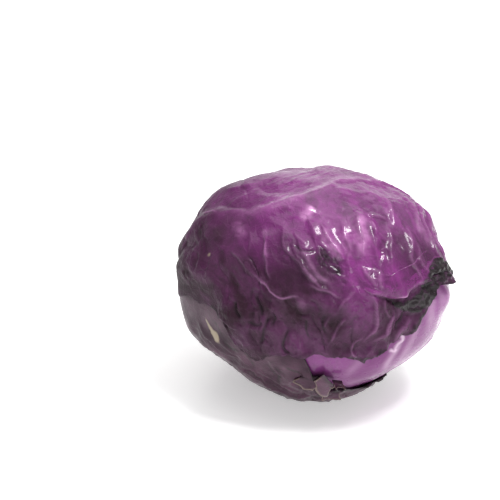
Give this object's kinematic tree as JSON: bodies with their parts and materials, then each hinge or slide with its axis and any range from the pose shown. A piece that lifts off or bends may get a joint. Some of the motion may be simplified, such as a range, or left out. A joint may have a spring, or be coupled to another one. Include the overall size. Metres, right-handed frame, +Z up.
{
  "type": "cabbage head",
  "caption": "Whole red cabbage head lying on its side: tight purple heart, loose wrapper leaves with wilted frilled margins, and a cut stem stump.",
  "frame": {"origin": "centre of the head's bounding box in plan, at the plane it rests on", "axes": "+X from the stem end to the crown, +Z up, -Y towards the side on which the top leaf is split"},
  "size_m": [0.1632, 0.1392, 0.1345],
  "materials": {
    "heart": null,
    "back_leaf": null,
    "under_leaf": null,
    "top_leaf": null,
    "stem_stump": null
  },
  "bodies": {
    "root": {"heart": "heart", "back_leaf": "back_leaf", "under_leaf": "under_leaf", "top_leaf": "top_leaf", "stem_stump": "stem_stump"}
  },
  "joints": []
}
